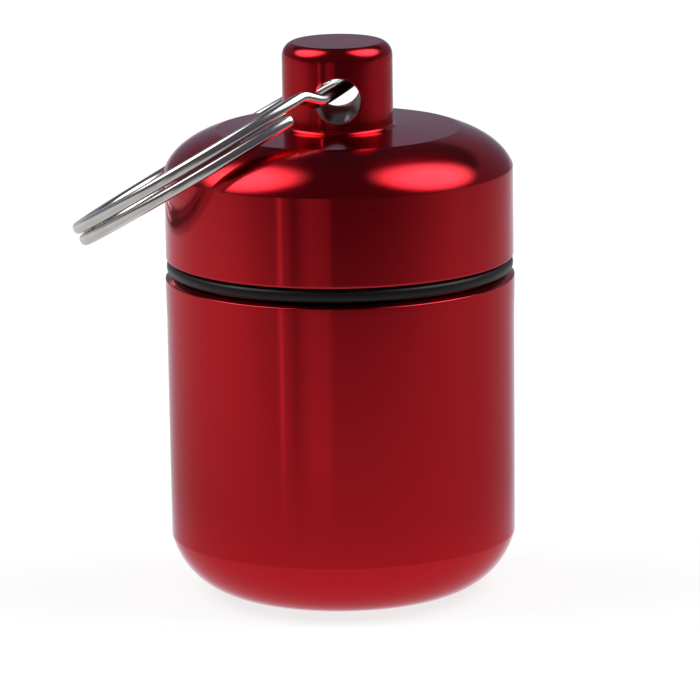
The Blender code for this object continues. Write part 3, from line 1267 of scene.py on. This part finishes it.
@dataclass(frozen=True)
class Glint:
    """Light on the sheet that shows in the turned wall as an upright stripe.

    It spreads from the point of the wall that shows it, in the direction in which that point
    reflects the camera's line of sight, so the stripe stands straight over the wall's height.
    Its bearings and the widths of its fades are in degrees, and one of negative strength takes
    light away.
    """

    left: float
    right: float
    strength: float
    left_fade: float = 2.0
    right_fade: float = 2.0
    reach_start: float = 0.03
    reach_full: float = 0.05

    def add(self, tree: NodeTree, parts: Any, total: Node) -> Node:
        """Add the stripe to the sheet's light.

        Args:
            tree: Tree of the sheet's material.
            parts: Sockets with the place on the sheet, by the names X and Y.
            total: Light of the sheet so far.

        Returns:
            Node with the stripe added.
        """
        left, right = math.radians(self.left), math.radians(self.right)
        facing = (left + right) / 4
        wall = (BODY_RADIUS * math.sin(facing), -BODY_RADIUS * math.cos(facing))
        across = add_node(tree, "Math", {0: parts["X"], 1: wall[0]}, operation="SUBTRACT")
        forward = add_node(tree, "Math", {0: wall[1], 1: parts["Y"]}, operation="SUBTRACT")
        bearing = add_node(tree, "Math", {0: across, 1: forward}, operation="ARCTAN2")
        left_end = left + math.radians(self.left_fade)
        right_start = right - math.radians(self.right_fade)
        edges = [
            Fade(0.0, self.strength, left, left_end).of(bearing),
            Fade(1.0, 0.0, right_start, right).of(bearing),
            Fade(0.0, 1.0, self.reach_start, self.reach_full).of(forward),
        ]
        rising, falling, reaching = (add_node(tree, "MapRange", edge, **SMOOTH) for edge in edges)
        sides = add_node(tree, "Math", {0: rising, 1: falling}, operation="MULTIPLY")
        stripe = {0: sides, 1: reaching, 2: total}
        return add_node(tree, "Math", stripe, operation="MULTIPLY_ADD")


@dataclass(frozen=True)
class Studio:
    """White sheet under two softboxes, open and dark towards the camera.

    The camera, and whatever is seen through a gap, sees white. Metal sees a glow on the sheet
    that depends on the place: it fades towards the front and far off, and is brighter near the
    piece, behind it and on its left.
    """

    sheet_half: float = 3.0
    sheet_white: str = "#f4f4f4"
    paper_light: float = 1.06
    shadow_share: float = 0.25
    front_glow: Fade = Fade(0.63, 0.08, 0.02, 0.2)
    near_glow: Fade = Fade(0.27, 0.0, 0.012, 0.045)
    back_glow: Fade = Fade(0.0, 0.1, 0.01, 0.2)
    left_glow: Fade = Fade(0.0, 0.2, -0.01, -0.12)
    far_share: Fade = Fade(1.0, 0.62, 0.16, 0.21)
    glints: tuple[Glint, ...] = (
        Glint(-27, -4.2, 0.16, 8, 3),
        Glint(-34.5, -26, -0.12, 3, 3),
        Glint(-68, -35, -0.05, 9, 4),
        Glint(-42.1, -37.4, 0.6),
    )
    lamp_bearings: tuple[float, ...] = (-93, 91)
    room_light: float = 0.11
    room_tint: str = "#f4e6ff"
    wall_tint: str = "#d2e0f4"
    wall_start: Fade = Fade(0.0, 1.0, -0.2, 0.6)
    wall_light: Fade = Fade(0.25, 0.0, 0.46, 0.56)

    def build(self) -> None:
        """Build the floor, the lamps and the world."""
        mesh = bpy.data.meshes.new("white_sheet")
        half = self.sheet_half
        corners = [(-half, -half, 0), (half, -half, 0), (half, half, 0), (-half, half, 0)]
        mesh.from_pydata(corners, [], [(0, 1, 2, 3)])
        sheet_piece = new_piece("white_sheet", mesh, self.sheet_material())
        for bearing in self.lamp_bearings:
            Softbox(bearing).build()
        self.world()
        LOG.info("studio: sheet, two softboxes and surroundings")

    def sheet_glow(self, tree: NodeTree) -> Node:
        """Work out the light that metal sees at each place of the sheet.

        Args:
            tree: Tree of the sheet's material.

        Returns:
            Node with the light.
        """
        place = add_node(tree, "TexCoord").outputs["Object"]
        parts = add_node(tree, "SeparateXYZ", {0: place}).outputs
        forward = add_node(tree, "Math", {0: parts["Y"], 1: -1.0}, operation="MULTIPLY")
        reach = add_node(tree, "VectorMath", {0: place}, operation="LENGTH")
        total = add_node(tree, "MapRange", self.front_glow.of(forward), **SMOOTH)
        changes = [
            (self.near_glow, reach, "ADD"),
            (self.back_glow, parts["Y"], "ADD"),
            (self.left_glow, parts["X"], "ADD"),
            (self.far_share, reach, "MULTIPLY"),
        ]
        for fade, driver, operation in changes:
            change = add_node(tree, "MapRange", fade.of(driver), **SMOOTH)
            total = add_node(tree, "Math", {0: total, 1: change}, operation=operation)
        for glint in self.glints:
            total = glint.add(tree, parts, total)
        return total

    def sheet_material(self) -> Material:
        """Build the sheet's paper: white to the camera with a faint shadow, a glow to the metal.

        Returns:
            The material.
        """
        material, tree = fresh_material("white_sheet")
        ray = add_node(tree, "LightPath").outputs
        clear = {"Factor": ray["Is Transmission Ray"], "A": self.sheet_glow(tree), "B": 1.0}
        glow = add_node(tree, "Emission", {"Strength": add_node(tree, "Mix", clear)})
        paper = add_node(tree, "Emission", {"Strength": self.paper_light})
        diffuse = add_node(tree, "BsdfDiffuse", {"Color": self.sheet_white})
        seen = {0: ray["Is Camera Ray"], 1: 1 - self.shadow_share}
        faint = add_node(tree, "Math", seen, operation="MULTIPLY")
        shown = add_node(tree, "MixShader", {0: faint, 1: diffuse, 2: paper})
        rays = {0: ray["Is Glossy Ray"], 1: ray["Is Transmission Ray"]}
        mirrored = add_node(tree, "Math", rays, operation="MAXIMUM")
        mix = add_node(tree, "MixShader", {0: mirrored, 1: shown, 2: glow})
        add_node(tree, "OutputMaterial", {"Surface": mix})
        return material

    def world(self) -> None:
        """Build the surroundings: white behind, and in reflections dark in front, grey behind."""
        world = bpy.data.worlds.new("studio_surroundings")
        world.use_nodes = True
        bpy.context.scene.world = world
        tree = world.node_tree
        tree.nodes.clear()
        direction = add_node(tree, "TexCoord").outputs["Generated"]
        parts = add_node(tree, "SeparateXYZ", {0: direction}).outputs
        behind, low = (
            add_node(tree, "MapRange", fade.of(driver), **SMOOTH)
            for fade, driver in ((self.wall_start, parts["Y"]), (self.wall_light, parts["Z"]))
        )
        light = {0: behind, 1: low, 2: self.room_light}
        depth = add_node(tree, "Math", light, operation="MULTIPLY_ADD")
        ray = add_node(tree, "LightPath").outputs
        rays = {0: ray["Is Camera Ray"], 1: ray["Is Transmission Ray"]}
        seen = add_node(tree, "Math", rays, operation="MAXIMUM")
        strength = add_node(tree, "Mix", {"Factor": seen, "A": depth, "B": 1.0})
        tint: str | Node = self.room_tint
        for factor, colour in ((behind, self.wall_tint), (seen, "#ffffff")):
            mixed = {"Factor": factor, "A": tint, "B": colour}
            tint = add_node(tree, "Mix", mixed, data_type="RGBA")
        background = add_node(tree, "Background", {"Color": tint, "Strength": strength})
        add_node(tree, "OutputWorld", {"Surface": background})


@dataclass(frozen=True)
class PhotoCamera:
    """Long lens a little above the canister, held with a slight roll."""

    place: tuple[float, float, float] = (0.675 * MM, -503.2 * MM, 126.27 * MM)
    target: tuple[float, float, float] = (0.675 * MM, 0.0, 18.469 * MM)
    lens: float = 346.12
    sensor: float = 36.0
    near_clip: float = 10 * MM
    roll: float = math.radians(-0.785)

    def build(self) -> None:
        """Build the camera and make it the scene's own."""
        camera = bpy.data.cameras.new("photo_camera")
        camera.lens = self.lens
        camera.sensor_width = self.sensor
        camera.sensor_fit = "HORIZONTAL"
        camera.clip_start = self.near_clip
        camera.dof.use_dof = False
        forward = (Vector(self.target) - Vector(self.place)).normalized()
        level = forward.cross(Vector((0, 0, 1))).normalized()
        up = level.cross(forward)
        right = level * math.cos(self.roll) + up * math.sin(self.roll)
        top = up * math.cos(self.roll) - level * math.sin(self.roll)
        axes = Matrix((right, top, -forward)).transposed().to_4x4()
        piece = bpy.data.objects.new("photo_camera", camera)
        piece.matrix_world = Matrix.Translation(self.place) @ axes
        bpy.context.scene.collection.objects.link(piece)
        bpy.context.scene.camera = piece


def main() -> None:
    """Build the dressed canister and its studio."""
    logging.basicConfig(level=logging.INFO, format="%(message)s")
    PhotoCamera().build()
    anodising = AnodisedAluminium()
    Canister().build(anodising)
    Cap().build(anodising)
    SealingRing().build(MouldedRubber())
    SplitRing().build(NickelPlatedSteel())
    Studio().build()
    bpy.context.scene.view_settings.view_transform = "Standard"


if __name__ == "__main__":
    main()
